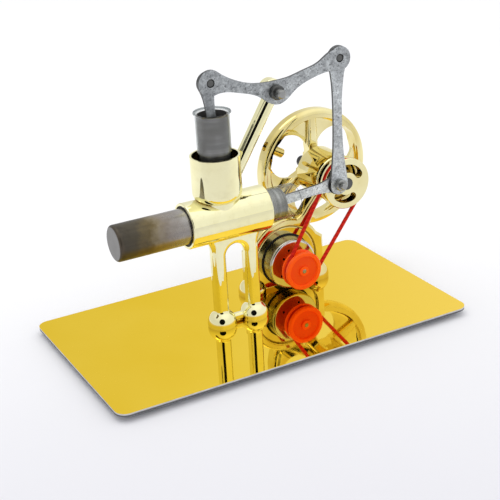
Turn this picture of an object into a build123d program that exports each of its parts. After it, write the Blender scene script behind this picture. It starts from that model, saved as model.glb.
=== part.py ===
from build123d import *
import math
import os

os.makedirs("parts", exist_ok=True)

# Desk-top Stirling engine model with a belt-driven generator.
# Frame: origin at the bottom centre on the table, X along the long side of the
# base (towards the crank), Y to the back, Z up. Millimetres.
# A point in the engine is written (x, z) where its place in Y is given apart.


def span(start, end):
    """Distance between two (x, z) points and the unit direction from start to end."""
    dx, dz = end[0] - start[0], end[1] - start[1]
    length = math.hypot(dx, dz)
    return length, (dx / length, dz / length)


# ---------------------------------------------------------------- base
BASE_LENGTH, BASE_WIDTH, BASE_CORNER_R = 171.7, 97.6, 4.9
FOOT_D, FOOT_H = 13.2, 2.3                     # rubber feet
FOOT_X, FOOT_Y = 72.1, 37.5                    # foot centres
BOARD_T, SHEET_T = 1.5, 0.2                    # board and mirror sheet
BOARD_HOLE_R = 1.7
Z0 = FOOT_H + BOARD_T + SHEET_T                # top of the mirror sheet

# The engine, crank and generator are drawn about their own datum: heights such as the
# barrel axis count from Z0. This move (down in Z) then sets them on the board.
SEAT_X, SEAT_Y, SEAT_Z = 4.27, 8.30, 4.6
DRAWN_TOP_Z = Z0 + SEAT_Z                      # top of the mirror sheet in the engine datum

# ---------------------------------------------------------------- engine block
ENGINE_Y = -9.3                                # centre plane of the engine block
BARREL_Z = Z0 + 55.8                           # axis of the horizontal barrel
BARREL_R, BARREL_X0, BARREL_X1 = 10.2, -34.5, 4.4
BARREL_SEAT_R = 9.0                            # bore that takes a seal, at both ends
SOCKET_X, SOCKET_R, SOCKET_TOP = -17.6, 10.9, Z0 + 84.7   # vertical socket
SOCKET_BORE_R, SOCKET_FLOOR = 10.05, Z0 + 68.5
SOCKET_NECK_R = 8.2
LEG_WIDTH = 6.5
LEG_FOOT_Z = 13                                # lower end of the flat legs
FRONT_LEG_X = (-19.5, -3.3)
REAR_LEG_X = (7.6, 42.4)
ARM_START = (-8.6, Z0 + 72.6)                  # beam arm axis, lower end
ARM_END = (11.0, Z0 + 103.8)                   # beam arm axis, upper end
ARM_Y, ARM_R = -7.6, 3.1
PIVOT = (11.6, Z0 + 107.5)                     # beam pivot axis
BOSS_R, BOSS_Y0, BOSS_Y1 = 5.1, -10.6, -5.4

# ---------------------------------------------------------------- cylinders and pistons
HOT_R, HOT_WALL, HOT_END_T, HOT_X0, HOT_X1 = 8.0, 0.6, 0.8, -67.3, -24.0
HOT_GLASS_R, HOT_GLASS_BORE_R, HOT_GLASS_X0, HOT_GLASS_X1 = 7.55, 6.9, -7.0, 20.1
COLD_GLASS_R, COLD_GLASS_BORE_R = 7.35, 6.85
COLD_GLASS_Z0, COLD_GLASS_Z1 = Z0 + 69.5, Z0 + 103.7
SLEEVE_R, SLEEVE_BORE_R, SLEEVE_X0, SLEEVE_X1 = 6.84, 6.4, -9.5, 13.2   # hot piston
CROWN_R, CROWN_BORE_R, CROWN_T, CROWN_X0 = 6.6, 6.0, 0.7, -65.6
COLD_PISTON_R, COLD_PISTON_BORE_R, COLD_PISTON_T = 6.79, 6.2, 3.0
COLD_PISTON_Z0, COLD_PISTON_Z1 = Z0 + 79.0, Z0 + 102.6
HOT_WRIST = (8.6, BARREL_Z)
COLD_WRIST = (SOCKET_X, Z0 + 91.4)
WRIST_PIN_R, WRIST_PIN_LENGTH = 1.0, 8.4

# ---------------------------------------------------------------- levers
LEVER_T = 1.2                                  # thickness of the pressed levers
CON_ROD_Y, LINK_Y, BEAM_Y = -8.5, -10.3, -11.6   # centre planes; the cold rod shares LINK_Y
BEAM_LEFT = (-18.6, Z0 + 116.4)
BEAM_RIGHT = (44.4, Z0 + 116.6)
CRANK_PIN = (43.4, Z0 + 58.1)
CRANK_PIN_R = 1.5
BEAM_PIN_R = 1.8                               # pins at the beam ends
PIVOT_R = 1.97
CLEARANCE, SNUG = 0.05, 0.02                   # running and close clearance on the radius

# ---------------------------------------------------------------- crank, flywheel, rear frame
CRANK_X, CRANK_Z = CRANK_AXIS = (50.1, Z0 + 55.7)
DISC_R, DISC_GROOVE_R, DISC_Y0, DISC_Y1 = 12.0, 9.8, -6.8, -2.4
BELT_Y, BELT_R, BELT_GAP = -5.0, 0.9, 0.05
SHAFT_R, SHAFT_Y1 = 2.0, 32.4                  # crankshaft radius and rear end
HOUSING_R, HOUSING_Y0, HOUSING_Y1 = 11.4, 0.8, 19.6
BEARING_R, BEARING_T, BEARING_SEAT = 5.5, 4.0, 4.5
BEARING_Y1 = (HOUSING_Y0 + BEARING_SEAT, HOUSING_Y1)   # rear faces, front and rear bearing
FLY_R, FLY_Y, RIM_T, WEB_T = 28.7, 25.0, 7.6, 1.8
WINDOW_R, WINDOW_PITCH_R = 10.6, 14.6
PEG_R, PEG_ANGLE = 2.25, 149                   # balance peg, degrees from +X towards +Z
REAR_Y, REAR_T, ARCH_R = 12.0, 6.6, 20.2       # rear frame centre plane, thickness, arch

# ---------------------------------------------------------------- motor
MOTOR_X, MOTOR_Z = MOTOR_AXIS = (25.0, Z0 + 18.5)
CAN_R, CAN_WALL, CAN_Y0, CAN_Y1 = 12.2, 0.6, 2.2, 14.5
CAN_BORE_R = CAN_R - CAN_WALL
RING_BORE_R, RING_R, RING_Y0, RING_Y1 = 12.95, 16.6, 9.6, 15.4   # ring around the motor
MOTOR_SHAFT_R = 1.0
TERMINALS = ((7.2, 0), (-7.2, 0))              # from the motor axis
TERMINAL_T, TERMINAL_H = 0.5, 2.0
PULLEY_R, PULLEY_GROOVE_R, PULLEY_Y0, PULLEY_Y1 = 9.2, 7.1, -7.9, -2.5

FRONT_FEET = [(x, ENGINE_Y) for x in FRONT_LEG_X]
REAR_FEET = [(x, REAR_Y) for x in REAR_LEG_X]
BOARD_HOLES = [(x + SEAT_X, y + SEAT_Y) for x, y in FRONT_FEET + REAR_FEET]


# ---------------------------------------------------------------- planes and simple pieces
def front(y, x=0.0, z=0.0):
    """Plane facing the front: local x is +X, local y is +Z, extrusion goes to -Y."""
    return Plane(origin=(x, y, z), x_dir=(1, 0, 0), z_dir=(0, -1, 0))


def level(x, y, z):
    """Plane parallel to the table: local axes are X and Y, extrusion goes up."""
    return Plane(origin=(x, y, z), x_dir=(1, 0, 0), z_dir=(0, 0, 1))


def barrel(x):
    """Plane across the barrel axis, whose extrusion runs along +X."""
    return Plane(origin=(x, ENGINE_Y, BARREL_Z), x_dir=(0, 1, 0), z_dir=(1, 0, 0))


def socket(z):
    """Plane across the axis of the vertical socket."""
    return level(SOCKET_X, ENGINE_Y, z)


def upright(x, y):
    """Vertical axis through (x, y)."""
    return Axis((x, y, 0), (0, 0, 1))


def disc(plane, radius, length, edge_fillet=0.0):
    """Round bar extruded from the plane, with all its edges filleted on request."""
    with BuildPart() as bar:
        with BuildSketch(plane):
            Circle(radius)
        extrude(amount=length)
        if edge_fillet:
            fillet(bar.edges(), edge_fillet)
    return bar.part


def ring(plane, outer_r, inner_r, length, front_chamfer=0.0):
    """Plain ring, with the outer edge of its front (-Y) face chamfered on request."""
    with BuildPart() as collar:
        with BuildSketch(plane):
            Circle(outer_r)
            Circle(inner_r, mode=Mode.SUBTRACT)
        extrude(amount=length)
        if front_chamfer:
            front_edges = collar.edges().group_by(Axis.Y)[0]
            chamfer(front_edges.sort_by(SortBy.LENGTH)[-1], front_chamfer)
    return collar.part


def write(part, name, seated=True):
    """Set the part on the board if it is drawn in the engine datum, and export it."""
    if seated:
        part = part.moved(Location((SEAT_X, SEAT_Y, -SEAT_Z)))
    part.label = name
    export_step(part, f"parts/{name}.step")


# ---------------------------------------------------------------- base board, sheet, feet
def base_plate(z, thickness, lower_chamfer=0.0):
    """Rounded plate with the screw holes; only its straight lower edges are chamfered."""
    with BuildPart() as plate:
        with BuildSketch(Plane.XY.offset(z)):
            RectangleRounded(BASE_LENGTH, BASE_WIDTH, BASE_CORNER_R)
            with Locations(*BOARD_HOLES):
                Circle(BOARD_HOLE_R, mode=Mode.SUBTRACT)
        extrude(amount=thickness)
        if lower_chamfer:
            lower_edges = plate.edges().group_by(Axis.Z)[0]
            chamfer(lower_edges.filter_by(lambda e: e.length > 12), lower_chamfer)
    return plate.part


write(base_plate(FOOT_H, BOARD_T, lower_chamfer=0.2), "base_board", seated=False)
write(base_plate(FOOT_H + BOARD_T, SHEET_T), "gold_top_sheet", seated=False)

with BuildPart() as rubber_feet:
    with BuildSketch(Plane.XY):
        with GridLocations(2 * FOOT_X, 2 * FOOT_Y, 2, 2):
            Circle(FOOT_D / 2)
    extrude(amount=FOOT_H)
    fillet(rubber_feet.edges().group_by(Axis.Z)[0], 0.5)
write(rubber_feet.part, "rubber_feet", seated=False)

# ---------------------------------------------------------------- ball feet of both frames
BALL_R, BALL_Z = 6.6, 1.2                      # ball radius, centre height above the sheet
NECK_R, COVE_R = 3.3, 2.4                      # neck and the hollow that runs into it
CASTING_HOLE_R, CASTING_HOLE_DEPTH = 1.5, 8.0


def ball_foot(x, y):
    """Domed foot with a coved neck, standing on the sheet."""
    # the cove centre lies one ball and one cove radius away from the ball centre
    cove_x = NECK_R + COVE_R
    cove_rise = math.sqrt((BALL_R + COVE_R) ** 2 - cove_x ** 2)
    share = BALL_R / (BALL_R + COVE_R)
    tangent = (share * cove_x, BALL_Z + share * cove_rise)
    neck = (NECK_R, BALL_Z + cove_rise)
    base_r = math.sqrt(BALL_R ** 2 - BALL_Z ** 2)
    base_angle = math.atan2(-BALL_Z, base_r)
    tangent_angle = math.atan2(tangent[1] - BALL_Z, tangent[0])
    ball_angle = (base_angle + tangent_angle) / 2
    ball_mid = (BALL_R * math.cos(ball_angle), BALL_Z + BALL_R * math.sin(ball_angle))
    cove_angle = (math.atan2(tangent[1] - neck[1], tangent[0] - cove_x) - math.pi) / 2
    cove_mid = (cove_x + COVE_R * math.cos(cove_angle), neck[1] + COVE_R * math.sin(cove_angle))
    stub_top = neck[1] + 3                     # runs up into the leg
    with BuildPart() as foot:
        with BuildSketch(front(y, x, DRAWN_TOP_Z)):
            with BuildLine():
                Line((0, 0), (base_r, 0))
                ThreePointArc((base_r, 0), ball_mid, tangent)
                ThreePointArc(tangent, cove_mid, neck)
                Polyline(neck, (NECK_R - 0.1, stub_top), (0, stub_top), (0, 0))
            make_face()
        revolve(axis=upright(x, y))
    return foot.part


# ---------------------------------------------------------------- engine block
arm_length, arm_direction = span(ARM_START, ARM_END)
half_leg = LEG_WIDTH / 2
left_outer, left_inner = FRONT_LEG_X[0] - half_leg, FRONT_LEG_X[0] + half_leg
right_inner, right_outer = FRONT_LEG_X[1] - half_leg, FRONT_LEG_X[1] + half_leg
LEG_FLARE_Z, LEG_SHOULDER_Z, LEG_TOP_Z = 43.5, 51.6, 56
LEG_ARCH_Z = 41.8                              # springing of the arch between the legs
LEFT_FLARE, RIGHT_FLARE = 3.6, 3.2
TIE_BAR = 3.2                                  # side of the square bar between the feet

# plane, radius, depth
ENGINE_BORES = (
    (barrel(BARREL_X0), BARREL_SEAT_R, 11.0),
    (barrel(BARREL_X0), 7.3, BARREL_X1 - BARREL_X0),
    (barrel(-7.2), BARREL_SEAT_R, BARREL_X1 + 7.2),
    (socket(SOCKET_FLOOR), SOCKET_BORE_R, SOCKET_TOP - SOCKET_FLOOR),
    (socket(BARREL_Z), 3.0, SOCKET_FLOOR - BARREL_Z),
    (front(BOSS_Y1, *PIVOT), 2.0, BOSS_Y1 - BOSS_Y0),
)

with BuildPart() as engine_block:
    # horizontal barrel with softened ends
    with BuildSketch(barrel(BARREL_X0)):
        Circle(BARREL_R)
    extrude(amount=BARREL_X1 - BARREL_X0)
    fillet(engine_block.edges(), 0.5)
    # vertical socket, rounded under its overhang and necked into the barrel
    with BuildSketch(front(ENGINE_Y, SOCKET_X)):
        with BuildLine():
            Polyline((SOCKET_NECK_R, Z0 + 64.5), (SOCKET_NECK_R, BARREL_Z), (0, BARREL_Z),
                     (0, SOCKET_TOP), (SOCKET_R, SOCKET_TOP), (SOCKET_R, Z0 + 68.3))
            ThreePointArc((SOCKET_R, Z0 + 68.3), (SOCKET_R - 0.8, Z0 + 66.0),
                          (SOCKET_NECK_R, Z0 + 64.5))
        make_face()
    revolve(axis=upright(SOCKET_X, ENGINE_Y))
    # legs with the arch between them and flared tops
    with BuildPart(mode=Mode.PRIVATE) as legs:
        with BuildSketch(front(ENGINE_Y + half_leg)):
            with BuildLine():
                Line((left_outer, LEG_FOOT_Z), (left_outer, LEG_FLARE_Z))
                ThreePointArc((left_outer, LEG_FLARE_Z), (left_outer - 0.7, 48.2),
                              (left_outer - LEFT_FLARE, LEG_SHOULDER_Z))
                Polyline((left_outer - LEFT_FLARE, LEG_SHOULDER_Z),
                         (left_outer - LEFT_FLARE, LEG_TOP_Z),
                         (right_outer + RIGHT_FLARE, LEG_TOP_Z),
                         (right_outer + RIGHT_FLARE, LEG_SHOULDER_Z))
                ThreePointArc((right_outer + RIGHT_FLARE, LEG_SHOULDER_Z),
                              (right_outer + 0.6, 48.2), (right_outer, LEG_FLARE_Z))
                Polyline((right_outer, LEG_FLARE_Z), (right_outer, LEG_FOOT_Z),
                         (right_inner, LEG_FOOT_Z), (right_inner, LEG_ARCH_Z))
                ThreePointArc((right_inner, LEG_ARCH_Z), (sum(FRONT_LEG_X) / 2, 46.6),
                              (left_inner, LEG_ARCH_Z))
                Polyline((left_inner, LEG_ARCH_Z), (left_inner, LEG_FOOT_Z),
                         (left_outer, LEG_FOOT_Z))
            make_face()
        extrude(amount=LEG_WIDTH)
        # outline edges of the front and back faces, without those at top and bottom
        face_edges = legs.edges().filter_by(
            lambda e: abs(abs(e.center().Y - ENGINE_Y) - half_leg) < 1e-3
            and 13.2 < e.center().Z < 55)
        fillet(face_edges, 2.7)
    add(legs.part)
    for foot_x, foot_y in FRONT_FEET:
        add(ball_foot(foot_x, foot_y))
    # small tie bar between the two feet
    with BuildSketch(Plane(origin=(FRONT_LEG_X[0], ENGINE_Y, DRAWN_TOP_Z + 2.2),
                           x_dir=(0, 1, 0), z_dir=(1, 0, 0))):
        RectangleRounded(TIE_BAR, TIE_BAR, 1.1)
    extrude(amount=FRONT_LEG_X[1] - FRONT_LEG_X[0])
    # round beam arm and pivot boss
    with BuildSketch(Plane(origin=(ARM_START[0], ARM_Y, ARM_START[1]), x_dir=(0, 1, 0),
                           z_dir=(arm_direction[0], 0, arm_direction[1]))):
        Circle(ARM_R)
    extrude(amount=arm_length)
    add(disc(front(BOSS_Y1, *PIVOT), BOSS_R, BOSS_Y1 - BOSS_Y0, edge_fillet=0.6))
    for bore_plane, bore_r, depth in ENGINE_BORES:
        with BuildSketch(bore_plane):
            Circle(bore_r)
        extrude(amount=depth, mode=Mode.SUBTRACT)
    # screw holes in the feet
    with BuildSketch(Plane.XY.offset(DRAWN_TOP_Z)):
        with Locations(*FRONT_FEET):
            Circle(CASTING_HOLE_R)
    extrude(amount=CASTING_HOLE_DEPTH, mode=Mode.SUBTRACT)
write(engine_block.part, "engine_block")

# ---------------------------------------------------------------- rear frame
# swan-neck arm from the arch to the crankshaft housing: x, height above the mirror sheet
NECK_UPPER = [(29.0, 37.4), (32.4, 37.7), (35.1, 39.3), (37.6, 42.4), (40.1, 45.3), (43.4, 49.6)]
NECK_LOWER = [(50.2, 46.8), (47.4, 45.0), (44.6, 42.9), (42.0, 39.4), (39.9, 35.2), (38.2, 31.4)]
NECK_UPPER = [(x, z + Z0) for x, z in NECK_UPPER]
NECK_LOWER = [(x, z + Z0) for x, z in NECK_LOWER]

# plane, radius, depth: motor bore, shaft passage, bearing seats
REAR_BORES = (
    (front(20.0, *MOTOR_AXIS), RING_BORE_R, 20.0),
    (front(HOUSING_Y1, *CRANK_AXIS), 3.2, HOUSING_Y1 - HOUSING_Y0),
    *((front(y, *CRANK_AXIS), BEARING_R, BEARING_SEAT) for y in BEARING_Y1),
)

with BuildPart() as rear_frame:
    with BuildPart(mode=Mode.PRIVATE) as arch_plate:
        with BuildSketch(front(REAR_Y + REAR_T / 2)):
            # half-round arch concentric with the motor
            with Locations(MOTOR_AXIS):
                Circle(ARCH_R)
            with Locations((MOTOR_X, MOTOR_Z - 25)):
                Rectangle(60, 50, mode=Mode.SUBTRACT)
            # legs below it; inward is the X sense towards the motor
            for leg_x, inward in zip(REAR_LEG_X, (1, -1)):
                outer_x = leg_x - inward * half_leg
                inner_x = leg_x + inward * half_leg
                with BuildLine():
                    Polyline((outer_x, LEG_FOOT_Z), (inner_x, LEG_FOOT_Z), (inner_x, Z0 + 24),
                             (inner_x - inward * 2.6, Z0 + 29.2), (outer_x, Z0 + 26.2),
                             (outer_x, LEG_FOOT_Z))
                make_face()
            with BuildLine():
                Spline(*NECK_UPPER)
                Polyline(NECK_UPPER[-1], CRANK_AXIS, NECK_LOWER[0])
                Spline(*NECK_LOWER)
                Polyline(NECK_LOWER[-1], (29.0, Z0 + 31.0), NECK_UPPER[0])
            make_face()
            with Locations(MOTOR_AXIS):
                Circle(RING_R - 0.5, mode=Mode.SUBTRACT)
        extrude(amount=REAR_T)
        # soften front and back outlines, except at the leg ends and inside the housing
        face_edges = arch_plate.edges().filter_by(
            lambda e: abs(abs(e.center().Y - REAR_Y) - REAR_T / 2) < 1e-3
            and e.center().Z > 13.5)
        face_edges = face_edges.filter_by(
            lambda e: math.hypot(e.center().X - CRANK_X, e.center().Z - CRANK_Z) > 7)
        fillet(face_edges, 1.3)
    add(arch_plate.part)
    # motor ring, open at its lowest point, clear of the base
    with BuildPart(mode=Mode.PRIVATE) as motor_ring:
        add(disc(front(RING_Y1, *MOTOR_AXIS), RING_R, RING_Y1 - RING_Y0, edge_fillet=0.9))
        with BuildSketch(front(RING_Y1 + 1, MOTOR_X, 0)):
            Rectangle(60, 2 * (DRAWN_TOP_Z + 1.6))
        extrude(amount=20, mode=Mode.SUBTRACT)
    add(motor_ring.part)
    # crankshaft housing
    add(disc(front(HOUSING_Y1, *CRANK_AXIS), HOUSING_R, HOUSING_Y1 - HOUSING_Y0, edge_fillet=0.8))
    for foot_x, foot_y in REAR_FEET:
        add(ball_foot(foot_x, foot_y))
    for bore_plane, bore_r, depth in REAR_BORES:
        with BuildSketch(bore_plane):
            Circle(bore_r)
        extrude(amount=depth, mode=Mode.SUBTRACT)
    # ring groove in the front face of the housing
    with BuildSketch(front(HOUSING_Y0 + 1.2, *CRANK_AXIS)):
        Circle(9.6)
        Circle(7.2, mode=Mode.SUBTRACT)
    extrude(amount=1.2, mode=Mode.SUBTRACT)
    # screw holes in the feet
    with BuildSketch(Plane.XY.offset(DRAWN_TOP_Z)):
        with Locations(*REAR_FEET):
            Circle(CASTING_HOLE_R)
    extrude(amount=CASTING_HOLE_DEPTH, mode=Mode.SUBTRACT)
write(rear_frame.part, "rear_frame")

# ---------------------------------------------------------------- casting screws from below
BOARD_UNDERSIDE = SEAT_Z + FOOT_H              # in the engine datum
SCREW_HEAD_R, SCREW_HEAD_H = 2.7, 1.7
SCREW_R, SCREW_LENGTH = 1.45, 8.5
CROSS_LENGTH, CROSS_WIDTH, CROSS_DEPTH = 2.6, 0.6, 0.9

for name, feet in (("front_frame_screws", FRONT_FEET), ("rear_frame_screws", REAR_FEET)):
    with BuildPart() as screws:
        with BuildSketch(Plane.XY.offset(BOARD_UNDERSIDE - SCREW_HEAD_H)):
            with Locations(*feet):
                Circle(SCREW_HEAD_R)
        extrude(amount=SCREW_HEAD_H)
        fillet(screws.edges().group_by(Axis.Z)[0], 0.6)
        with BuildSketch(Plane.XY.offset(BOARD_UNDERSIDE)):
            with Locations(*feet):
                Circle(SCREW_R)
        extrude(amount=SCREW_LENGTH)
        with BuildSketch(Plane.XY.offset(BOARD_UNDERSIDE - SCREW_HEAD_H)):
            with Locations(*feet):
                Rectangle(CROSS_LENGTH, CROSS_WIDTH)
                Rectangle(CROSS_WIDTH, CROSS_LENGTH)
        extrude(amount=CROSS_DEPTH, mode=Mode.SUBTRACT)
    write(screws.part, name)

# ---------------------------------------------------------------- hot cylinder
with BuildPart() as hot_cylinder:
    with BuildSketch(barrel(HOT_X0)):
        Circle(HOT_R)
    extrude(amount=HOT_X1 - HOT_X0)
    fillet(hot_cylinder.edges().sort_by(Axis.X)[0], 1.3)
    with BuildSketch(barrel(HOT_X0 + HOT_END_T)):
        Circle(HOT_R - HOT_WALL)
    extrude(amount=60, mode=Mode.SUBTRACT)     # out through the open end
write(hot_cylinder.part, "hot_cylinder")

# ---------------------------------------------------------------- glass tubes
with BuildPart() as hot_glass_tube:
    with BuildSketch(barrel(HOT_GLASS_X0)):
        Circle(HOT_GLASS_R)
        Circle(HOT_GLASS_BORE_R, mode=Mode.SUBTRACT)
    extrude(amount=HOT_GLASS_X1 - HOT_GLASS_X0)
    fillet(hot_glass_tube.edges().group_by(Axis.X)[-1], 0.25)
write(hot_glass_tube.part, "hot_glass_tube")

# the upper end flares out to a lip
LIP_R, LIP_TOP_R = 8.2, 8.05
bore_end = (COLD_GLASS_BORE_R, COLD_GLASS_Z1 - 2.6)    # upper end of the straight bore
wall_end = (COLD_GLASS_R, COLD_GLASS_Z1 - 1.8)         # upper end of the straight outside
lip_edge = (LIP_R, COLD_GLASS_Z1 - 0.4)
lip_top = (LIP_TOP_R, COLD_GLASS_Z1)
with BuildPart() as cold_glass_tube:
    with BuildSketch(front(ENGINE_Y, SOCKET_X)):
        with BuildLine():
            Polyline(bore_end, (COLD_GLASS_BORE_R, COLD_GLASS_Z0),
                     (COLD_GLASS_R, COLD_GLASS_Z0), wall_end)
            ThreePointArc(wall_end, (COLD_GLASS_R + 0.25, COLD_GLASS_Z1 - 0.95), lip_edge)
            Line(lip_edge, lip_top)
            ThreePointArc(lip_top, (COLD_GLASS_BORE_R + 0.3, COLD_GLASS_Z1 - 0.9), bore_end)
        make_face()
    revolve(axis=upright(SOCKET_X, ENGINE_Y))
write(cold_glass_tube.part, "cold_glass_tube")

# ---------------------------------------------------------------- seals
write(ring(barrel(BARREL_X0 + 0.5), BARREL_SEAT_R, HOT_R, 8.0), "hot_cylinder_seal")
write(ring(barrel(-6.4), BARREL_SEAT_R, HOT_GLASS_R, 9.6), "hot_glass_seal")
write(ring(socket(SOCKET_FLOOR), SOCKET_BORE_R, COLD_GLASS_R, 7.5), "cold_glass_seal")

# ---------------------------------------------------------------- pistons
with BuildPart() as hot_piston:
    with BuildSketch(barrel(SLEEVE_X0)):
        Circle(SLEEVE_R)
    extrude(amount=SLEEVE_X1 - SLEEVE_X0)
    chamfer(hot_piston.edges().sort_by(Axis.X)[-1], 0.2)
    with BuildSketch(barrel(SLEEVE_X0)):
        Circle(SLEEVE_BORE_R)
    extrude(amount=SLEEVE_X1 - SLEEVE_X0, mode=Mode.SUBTRACT)
write(hot_piston.part, "hot_piston")

with BuildPart() as hot_piston_crown:
    with BuildSketch(barrel(CROWN_X0)):
        Circle(CROWN_R)
    extrude(amount=SLEEVE_X0 - CROWN_X0)
    fillet(hot_piston_crown.edges().sort_by(Axis.X)[0], 1.2)
    # spigot that enters the sleeve
    with BuildSketch(barrel(SLEEVE_X0)):
        Circle(SLEEVE_BORE_R)
    extrude(amount=4.0)
    with BuildSketch(barrel(CROWN_X0 + CROWN_T)):
        Circle(CROWN_BORE_R)
    extrude(amount=70.0, mode=Mode.SUBTRACT)   # out through the open end
write(hot_piston_crown.part, "hot_piston_crown")

with BuildPart() as cold_piston:
    with BuildSketch(socket(COLD_PISTON_Z0)):
        Circle(COLD_PISTON_R)
    extrude(amount=COLD_PISTON_Z1 - COLD_PISTON_Z0)
    chamfer(cold_piston.edges().sort_by(Axis.Z)[-1], 0.2)
    with BuildSketch(socket(COLD_PISTON_Z0 + COLD_PISTON_T)):
        Circle(COLD_PISTON_BORE_R)
    extrude(amount=40, mode=Mode.SUBTRACT)     # out through the open top
write(cold_piston.part, "cold_piston")

for name, wrist in (("hot_wrist_pin", HOT_WRIST), ("cold_wrist_pin", COLD_WRIST)):
    pin_plane = front(ENGINE_Y + WRIST_PIN_LENGTH / 2, *wrist)
    write(disc(pin_plane, WRIST_PIN_R, WRIST_PIN_LENGTH), name)


# ---------------------------------------------------------------- connecting rod
def lever_plane(y_centre, start, x_dir):
    """Front plane on a lever's back face, at its start, with local x along x_dir (x, z)."""
    return Plane(origin=(start[0], y_centre + LEVER_T / 2, start[1]),
                 x_dir=(x_dir[0], 0, x_dir[1]), z_dir=(0, -1, 0))


# local x runs from the wrist pin to the crank pin
con_length, con_direction = span(HOT_WRIST, CRANK_PIN)
SMALL_EYE, BIG_EYE = 2.2, 4.4                  # outer radii at the two pins
STRAIGHT_END = 21.5                            # parallel part of the rod ends here
with BuildPart() as con_rod:
    with BuildSketch(lever_plane(CON_ROD_Y, HOT_WRIST, con_direction)):
        with BuildLine():
            ThreePointArc((0, SMALL_EYE), (-SMALL_EYE, 0), (0, -SMALL_EYE))
            Line((0, -SMALL_EYE), (STRAIGHT_END, -SMALL_EYE))
            Spline((STRAIGHT_END, -SMALL_EYE), (27.0, -2.55), (31.6, -3.7),
                   (con_length, -BIG_EYE), tangents=[(1, 0), (1, 0)])
            ThreePointArc((con_length, -BIG_EYE), (con_length + BIG_EYE, 0),
                          (con_length, BIG_EYE))
            Spline((con_length, BIG_EYE), (31.6, 3.7), (27.0, 2.55),
                   (STRAIGHT_END, SMALL_EYE), tangents=[(-1, 0), (-1, 0)])
            Line((STRAIGHT_END, SMALL_EYE), (0, SMALL_EYE))
        make_face()
        Circle(WRIST_PIN_R, mode=Mode.SUBTRACT)
        with Locations((con_length, 0)):
            Circle(CRANK_PIN_R + CLEARANCE, mode=Mode.SUBTRACT)
    extrude(amount=LEVER_T)
write(con_rod.part, "con_rod")

# ---------------------------------------------------------------- cold piston rod
# Outlines in local (across, along), where along runs from the wrist pin to the beam pin.
rod_length, (rod_dx, rod_dz) = span(COLD_WRIST, BEAM_LEFT)
COLD_ROD_RIGHT = [(2.3, 0), (1.8, 6.0), (1.35, 12.0), (1.5, 17.5), (2.7, 22.3), (4.2, rod_length)]
COLD_ROD_LEFT = [(-5.5, rod_length), (-4.7, 22.3), (-3.3, 17.5), (-2.8, 12.0), (-2.6, 6.0),
                 (-2.3, 0)]
with BuildPart() as cold_rod:
    with BuildSketch(lever_plane(LINK_Y, COLD_WRIST, (rod_dz, -rod_dx))):
        with BuildLine():
            ThreePointArc(COLD_ROD_LEFT[-1], (0, -2.3), COLD_ROD_RIGHT[0])
            Spline(*COLD_ROD_RIGHT, tangents=[(0, 1), (0, 1)])
            ThreePointArc(COLD_ROD_RIGHT[-1], (-0.65, rod_length + 4.85), COLD_ROD_LEFT[0])
            Spline(*COLD_ROD_LEFT, tangents=[(0, -1), (0, -1)])
        make_face()
        Circle(WRIST_PIN_R, mode=Mode.SUBTRACT)
        with Locations((0, rod_length)):
            Circle(BEAM_PIN_R + CLEARANCE, mode=Mode.SUBTRACT)
    extrude(amount=LEVER_T)
write(cold_rod.part, "cold_rod")

# ---------------------------------------------------------------- rocking beam
# upper and lower outlines, left to right: x, height above the mirror sheet
BEAM_UPPER = [
    (-14.7, 120.4), (-10.4, 117.5), (-5.4, 115.0), (-0.5, 113.3), (4.5, 112.45),
    (9.5, 112.25), (14.5, 112.35), (19.4, 112.85), (24.4, 114.05), (29.4, 115.2),
    (33.7, 116.65), (37.3, 118.9), (41.0, 120.6),
]
BEAM_LOWER = [
    (-17.3, 110.95), (-10.4, 111.25), (-5.4, 109.95), (-0.5, 108.55), (4.5, 106.05),
    (8.0, 103.4), (13.1, 101.7), (18.0, 103.7), (20.4, 105.7), (23.8, 107.85),
    (29.4, 109.95), (33.7, 111.05), (38.3, 111.65), (42.6, 111.3),
]
BEAM_UPPER = [(x, z + Z0) for x, z in BEAM_UPPER]
BEAM_LOWER = [(x, z + Z0) for x, z in BEAM_LOWER]
# outermost points of the round ends
right_tip = (BEAM_RIGHT[0] + 5.35 * math.cos(0.1), BEAM_RIGHT[1] + 5.35 * math.sin(0.1))
left_tip = (BEAM_LEFT[0] - 5.6 * math.cos(0.15), BEAM_LEFT[1] + 5.6 * math.sin(0.15))
with BuildPart() as beam:
    with BuildSketch(front(BEAM_Y + LEVER_T / 2)):
        with BuildLine():
            Spline(*BEAM_UPPER)
            ThreePointArc(BEAM_UPPER[-1], right_tip, BEAM_LOWER[-1])
            Spline(*reversed(BEAM_LOWER))
            ThreePointArc(BEAM_LOWER[0], left_tip, BEAM_UPPER[0])
        make_face()
        with Locations(BEAM_LEFT, BEAM_RIGHT):
            Circle(BEAM_PIN_R + SNUG, mode=Mode.SUBTRACT)
        with Locations(PIVOT):
            Circle(2.0 + CLEARANCE, mode=Mode.SUBTRACT)
    extrude(amount=LEVER_T)
write(beam.part, "beam")

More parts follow.
